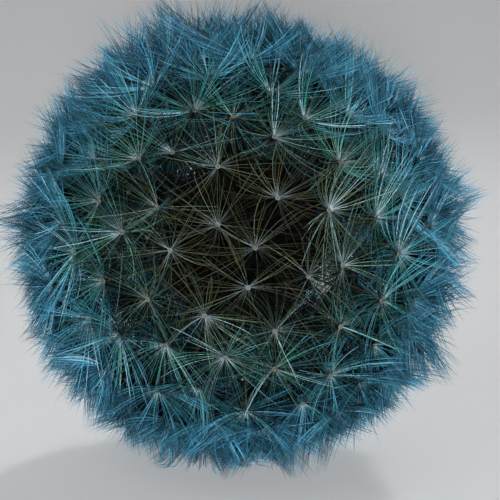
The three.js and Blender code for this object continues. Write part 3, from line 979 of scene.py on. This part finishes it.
def stalk_material(look):
    """The stalk: pale green with darker grooves, streaked and flushed reddish in long patches and
    towards the cut, which is stained; brown inside."""
    made, paint = material("stalk skin")
    place, within, end = paint.mark("place"), paint.mark("within"), paint.mark("end")
    flat = paint.node("ShaderNodeCombineXYZ", {
        "X": paint.mark("round_x"), "Y": paint.mark("round_y"), "Z": place}).outputs[0]
    streak, fleck = paint.grain(flat, (1.0, 1.0, 0.09), 2.2)
    patch = paint.noise(flat, 0.08, 1.0)
    flush = paint.maths("MAXIMUM", paint.ramp(patch, 0.42, 0.62), paint.ramp(place, 60, 118))
    flush = paint.maths("MULTIPLY", flush, paint.ramp(streak, 0.0, 1.0, 0.35, 0.85))
    body = paint.mix(flush, look.green, look.flush)
    body = paint.mix(paint.maths("MULTIPLY", paint.mark("groove"), 0.6), body, look.rib_shade)
    body = paint.mix(paint.maths("MULTIPLY", fleck, 0.25), body, scaled(look.green, 1.35))
    inner = paint.mix(paint.maths("MULTIPLY", fleck, 0.5), look.pith, look.stain)
    body = paint.mix(within, body, inner)
    stained = paint.maths("MULTIPLY", end, paint.ramp(streak, 0.0, 1.0, 0.4, 0.95))
    paint.shade(paint.mix(stained, body, look.stain), paint.ramp(streak, 0.0, 1.0, 0.42, 0.62),
                bump=(paint.maths("ADD", streak, fleck), 0.35, 0.05 * MM))
    return made


def dome_material(look):
    """The receptacle's skin: painted dark as shade inside the ball and finely pitted, with painted
    shade darkest in the pits where fruits stand, and green below the rim."""
    made, paint = material("receptacle skin")
    streak, fleck = paint.grain(paint.object_place(), (1, 1, 1), 700.0)
    skin = paint.mix(paint.maths("MULTIPLY", fleck, 0.6), look.dome, look.pit)
    # Painted shade in the pits where fruits stand.
    skin = paint.mix(paint.ramp(paint.mark("pit"), 0.1, 0.7), skin, look.pit)
    below = paint.mix(paint.maths("MULTIPLY", streak, 0.6), look.green, look.rib_shade)
    paint.shade(paint.mix(paint.mark("skin"), below, skin), paint.ramp(fleck, 0.0, 1.0, 0.6, 0.85),
                0.02, bump=(fleck, 0.5, 0.08 * MM))
    return made


class DANDELION_OT_stalk(Operator):
    """Build the stalk and its swollen end, the receptacle, as one piece"""

    bl_idname = "dandelion.stalk"
    bl_label = "Stalk and receptacle"

    def execute(self, context):
        look = context.scene.dandelion_stalk
        add_piece("stalk", [stalk_surface(look), receptacle_surface()],
                  [stalk_material(look), dome_material(look)], [STALK_NODE])
        return {"FINISHED"}


# ---------------------------------------------------------------------------------------------
# Bracts
# ---------------------------------------------------------------------------------------------

BRACT_STEPS = 26
BRACT_SIDES = 20
BRACT_THINNING = (0.72, 0.6)        # how much thinner it is at its edges, and at its tip
MIDRIB = (0.05 * MM, 0.16)          # height, and half its width over the blade's
VEIN = (0.014 * MM, 21)             # height, and how close the side veins lie
BRACT_WAVE = (0.05 * MM, 9)         # how far the edges wave out and in, and how often
BRACT_RAGGED = (0.05, 13)           # the same in its width
BRACT_STRAY = 0.05                  # how far it stands from its even place, in bracts


def bract_surface(ring, number, look):
    """One blade, closed round its edge. Its half width is a sine of the way along, broadest at two
    fifths. At the angle a round it, a point lies about cos a of the half width across and sin a of
    the half thickness out, raised at the edges and the midrib, and waved a little along."""
    t = np.linspace(0, 1, BRACT_STEPS)[:, None]
    a = np.arange(BRACT_SIDES) * TAU / BRACT_SIDES
    across = np.sign(np.cos(a)) * np.abs(np.cos(a)) ** 0.8
    half = ring["width"] / 2 * np.sin(np.pi * (0.18 + 0.8 * t))
    thick = (look.thickness / 2 * (1 - BRACT_THINNING[0] * across ** 2)
             * (1 - BRACT_THINNING[1] * t ** 3))
    midrib = MIDRIB[0] * np.exp(-(across / MIDRIB[1]) ** 2) * (1 - t)
    vein = VEIN[0] * np.cos(across * VEIN[1])
    centre = ring["base"][0] + ring["lean"] * ring["length"] * t + ring["curl"] * t ** 3
    wave = BRACT_WAVE[0] * np.sin(BRACT_WAVE[1] * t + 2.2 * number) * across
    x = centre + np.sin(a) * (thick + midrib + vein) + BRACT_TROUGH * across ** 2 + wave
    y = across * half * (1 + BRACT_RAGGED[0] * np.sin(BRACT_RAGGED[1] * t + number))
    z = np.broadcast_to(ring["base"][1] - ring["length"] * t, x.shape)
    turn = TAU * (number + BRACT_STRAY * scatter(number, 5)) / ring["count"]
    points = np.stack([x * np.cos(turn) - y * np.sin(turn),
                       x * np.sin(turn) + y * np.cos(turn), z], axis=-1)
    return loft(HEAD_CENTRE + turned(points)[None], cells_between((0, 1), 1), across=across,
                along=t, number=float(number))


def bract_material(look):
    """A drying leaf: olive with paler veins, thin straw-coloured edges and a brown tip."""
    made, paint = material("bract skin")
    across, along = paint.mark("across"), paint.mark("along")
    flat = paint.node("ShaderNodeCombineXYZ", {
        "X": paint.maths("MULTIPLY", across, 2.0), "Y": paint.mark("number"), "Z": along})
    streak, fleck = paint.grain(flat.outputs[0], (1.0, 1.0, 0.8), 3.0)
    width = paint.maths("ABSOLUTE", across)
    ripple = paint.maths("SINE", paint.maths("MULTIPLY", across, 22.0))
    veins = paint.maths("MAXIMUM", paint.ramp(width, 0.2, 0.05),
                        paint.ramp(ripple, 0.5, 1.0, 0, 0.5))
    body = paint.mix(veins, look.blade, look.vein)
    body = paint.mix(paint.maths("MULTIPLY", fleck, 0.35), body, look.tip)
    edge = paint.maths("ADD", width, paint.ramp(streak, 0.0, 1.0, -0.12, 0.12))
    body = paint.mix(paint.ramp(edge, 0.68, 0.95), body, look.margin)
    dry = paint.maths("ADD", along, paint.ramp(streak, 0.0, 1.0, -0.15, 0.15))
    body = paint.mix(paint.ramp(dry, 0.72, 1.0), body, look.tip)
    paint.shade(body, paint.ramp(fleck, 0.0, 1.0, 0.55, 0.8),
                bump=(paint.maths("ADD", streak, ripple), 0.3, 0.04 * MM))
    return made


class DANDELION_OT_bracts(Operator):
    """Build the two rings of bracts, one piece each"""

    bl_idname = "dandelion.bracts"
    bl_label = "Bracts"

    def execute(self, context):
        look = context.scene.dandelion_bracts
        skin = bract_material(look)
        for node in BRACT_NODES:
            ring = INNER_BRACT if node.startswith("inner") else OUTER_BRACT
            surface = bract_surface(ring, int(node[-2:]) - 1, look)
            add_piece(node.replace("_bract", "_leaf"), [surface], [skin], [node])
        return {"FINISHED"}


# ---------------------------------------------------------------------------------------------
# Stage
# ---------------------------------------------------------------------------------------------

SWEEP_RADIUS = 0.5                  # of the curve from the floor up to the wall, in metres
SWEEP_BACK = 0.7                    # from the origin to where the curve starts
SWEEP_FRONT = -2.0
SWEEP_TOP = 2.5
SWEEP_SIDE = 2.5                    # half its width
SWEEP_STEPS = 13
WORLD_COLOUR = (0.9, 0.95, 1, 1)
WORLD_STRENGTH = 0.04
SPOT_EDGE = 0.6                     # the share of the beam that fades
SENSOR_WIDTH = 36.0                 # in millimetres


def build_sweep(look):
    """A floor that curves up into a wall: the outline is a straight line, a quarter circle and a
    straight line, carried along X."""
    bend = np.linspace(0, np.pi / 2, SWEEP_STEPS)
    y = np.concatenate([[SWEEP_FRONT], SWEEP_BACK + SWEEP_RADIUS * np.sin(bend),
                        [SWEEP_BACK + SWEEP_RADIUS]])
    z = np.concatenate([[0.0], SWEEP_RADIUS * (1 - np.cos(bend)), [SWEEP_TOP]])
    x = np.array([-SWEEP_SIDE, SWEEP_SIDE])
    points = np.stack(np.broadcast_arrays(x[None], y[:, None], z[:, None]), axis=-1)
    index = np.arange(2 * len(y)).reshape(len(y), 2)
    quads = np.stack([index[:-1, 0], index[:-1, 1], index[1:, 1], index[1:, 0]], axis=-1)
    mesh = bpy.data.meshes.new("sweep")
    mesh.from_pydata(points.reshape(-1, 3).tolist(), [], quads.tolist())
    mesh.polygons.foreach_set("use_smooth", np.ones(len(quads), bool))
    sweep = bpy.data.objects.new("sweep", mesh)
    bpy.context.scene.collection.objects.link(sweep)
    made, paint = material("floor paper")
    paint.shade(look.floor, 0.9)
    mesh.materials.append(made)


def place_light(data, azimuth, elevation, distance, power):
    """A light that faces the ball, at angles in degrees round it from -Y to the right and up from
    the floor."""
    turn, up = np.radians([azimuth, elevation])
    way = np.array([np.sin(turn) * np.cos(up), -np.cos(turn) * np.cos(up), np.sin(up)])
    data.energy = power
    light = bpy.data.objects.new(data.name, data)
    light.location = HEAD_CENTRE + distance * way
    light.rotation_euler = Vector(-way).to_track_quat("-Z", "Y").to_euler()
    bpy.context.scene.collection.objects.link(light)


def area_light(name, azimuth, elevation, distance, size, power):
    """A square soft light."""
    data = bpy.data.lights.new(name, "AREA")
    data.shape, data.size = "SQUARE", size
    place_light(data, azimuth, elevation, distance, power)


def spot_light(name, azimuth, elevation, distance, reach, power):
    """A round light whose beam fades out at a reach from the ball's centre."""
    data = bpy.data.lights.new(name, "SPOT")
    data.spot_size, data.spot_blend = 2 * np.arctan(reach / distance), SPOT_EDGE
    data.shadow_soft_size = distance / 8
    place_light(data, azimuth, elevation, distance, power)


def build_lights():
    """A key light in front of the ball, so that its shadow falls behind it, with a weak one above
    and a spot behind, and a dim, slightly blue world."""
    world = bpy.data.worlds.new("studio")
    bpy.context.scene.world = world
    world.use_nodes = True
    background = world.node_tree.nodes["Background"]
    background.inputs["Color"].default_value = WORLD_COLOUR
    background.inputs["Strength"].default_value = WORLD_STRENGTH
    area_light("key", azimuth=-0.5, elevation=11, distance=2.0, size=0.2, power=86)
    area_light("top", azimuth=-35, elevation=50, distance=0.9, size=0.4, power=0.7)
    spot_light("back", azimuth=160, elevation=38, distance=0.9, reach=0.036, power=125)


def build_camera(look):
    """A camera on the head's axis, looking along it."""
    data = bpy.data.cameras.new("camera")
    camera = bpy.data.objects.new("camera", data)
    camera.location = HEAD_CENTRE + look.distance * HEAD_AXIS
    camera.rotation_euler = Vector(-HEAD_AXIS).to_track_quat("-Z", "Y").to_euler()
    data.sensor_width = SENSOR_WIDTH
    data.lens = SENSOR_WIDTH * look.distance / look.view_height
    data.shift_x, data.shift_y = look.aside, -look.down
    data.clip_start = 0.01
    scene = bpy.context.scene
    scene.collection.objects.link(camera)
    scene.camera = camera
    scene.view_settings.view_transform = "Standard"


class DANDELION_OT_stage(Operator):
    """Build the floor sweep, the lights and the camera"""

    bl_idname = "dandelion.stage"
    bl_label = "Stage"

    def execute(self, context):
        look = context.scene.dandelion_stage
        build_sweep(look)
        build_lights()
        build_camera(look)
        return {"FINISHED"}


# ---------------------------------------------------------------------------------------------
# Add-on
# ---------------------------------------------------------------------------------------------


class DANDELION_PT_sidebar(Panel):
    """Lists the pieces and their sizes and colours"""

    bl_idname = "DANDELION_PT_sidebar"
    bl_label = "Dandelion Seed Head"
    bl_space_type = "VIEW_3D"
    bl_region_type = "UI"
    bl_category = "Dandelion"

    def draw(self, context):
        for operator in OPERATORS:
            self.layout.operator(operator.bl_idname)
        for name, group in GROUPS.items():
            box = self.layout.box()
            box.label(text=group.__doc__)
            for key in group.__annotations__:
                box.prop(getattr(context.scene, f"dandelion_{name}"), key)


OPERATORS = (DANDELION_OT_stage, DANDELION_OT_stalk, DANDELION_OT_bracts, DANDELION_OT_seeds)
CLASSES = (*GROUPS.values(), *OPERATORS, DANDELION_PT_sidebar)


def register():
    for made in CLASSES:
        bpy.utils.register_class(made)
    for name, group in GROUPS.items():
        setattr(bpy.types.Scene, f"dandelion_{name}", PointerProperty(type=group))


def unregister():
    for name in GROUPS:
        delattr(bpy.types.Scene, f"dandelion_{name}")
    for made in reversed(CLASSES):
        bpy.utils.unregister_class(made)


def main():
    """Registers the add-on and builds everything in order."""
    register()
    for operator in OPERATORS:
        getattr(bpy.ops.dandelion, operator.bl_idname.split(".")[1])()


if __name__ == "__main__":
    main()
